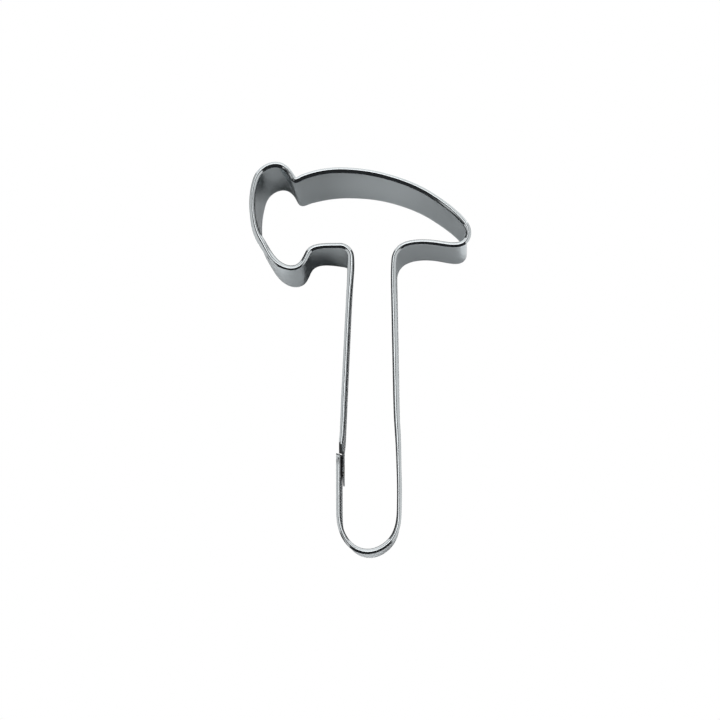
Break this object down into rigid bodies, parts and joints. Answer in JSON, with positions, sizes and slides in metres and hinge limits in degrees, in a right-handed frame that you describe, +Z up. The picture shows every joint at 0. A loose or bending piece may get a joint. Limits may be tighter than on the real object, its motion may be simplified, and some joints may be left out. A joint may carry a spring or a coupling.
{
  "type": "cookie cutter",
  "caption": "Cookie cutter in a claw-hammer outline: a hemmed steel strip bent to shape, lapped and spot-welded on the handle side, open above and below to stamp dough.",
  "frame": {"origin": "middle of the bounding box in plan, on the plane of the cutting edge", "axes": "+Z up from the cutting edge to the folded rim, +Y from the handle's end to the hammer head, +X from the poll to the claw's tip"},
  "size_m": [0.0494, 0.0881, 0.022],
  "materials": {
    "polished_steel": "bright cold-rolled strip, nearly mirror smooth with fine rolling lines",
    "welded_steel": "dull grey weld metal"
  },
  "bodies": {
    "root": {"cutter_band": "polished_steel", "lower_spot_weld": "welded_steel", "upper_spot_weld": "welded_steel"}
  },
  "joints": []
}
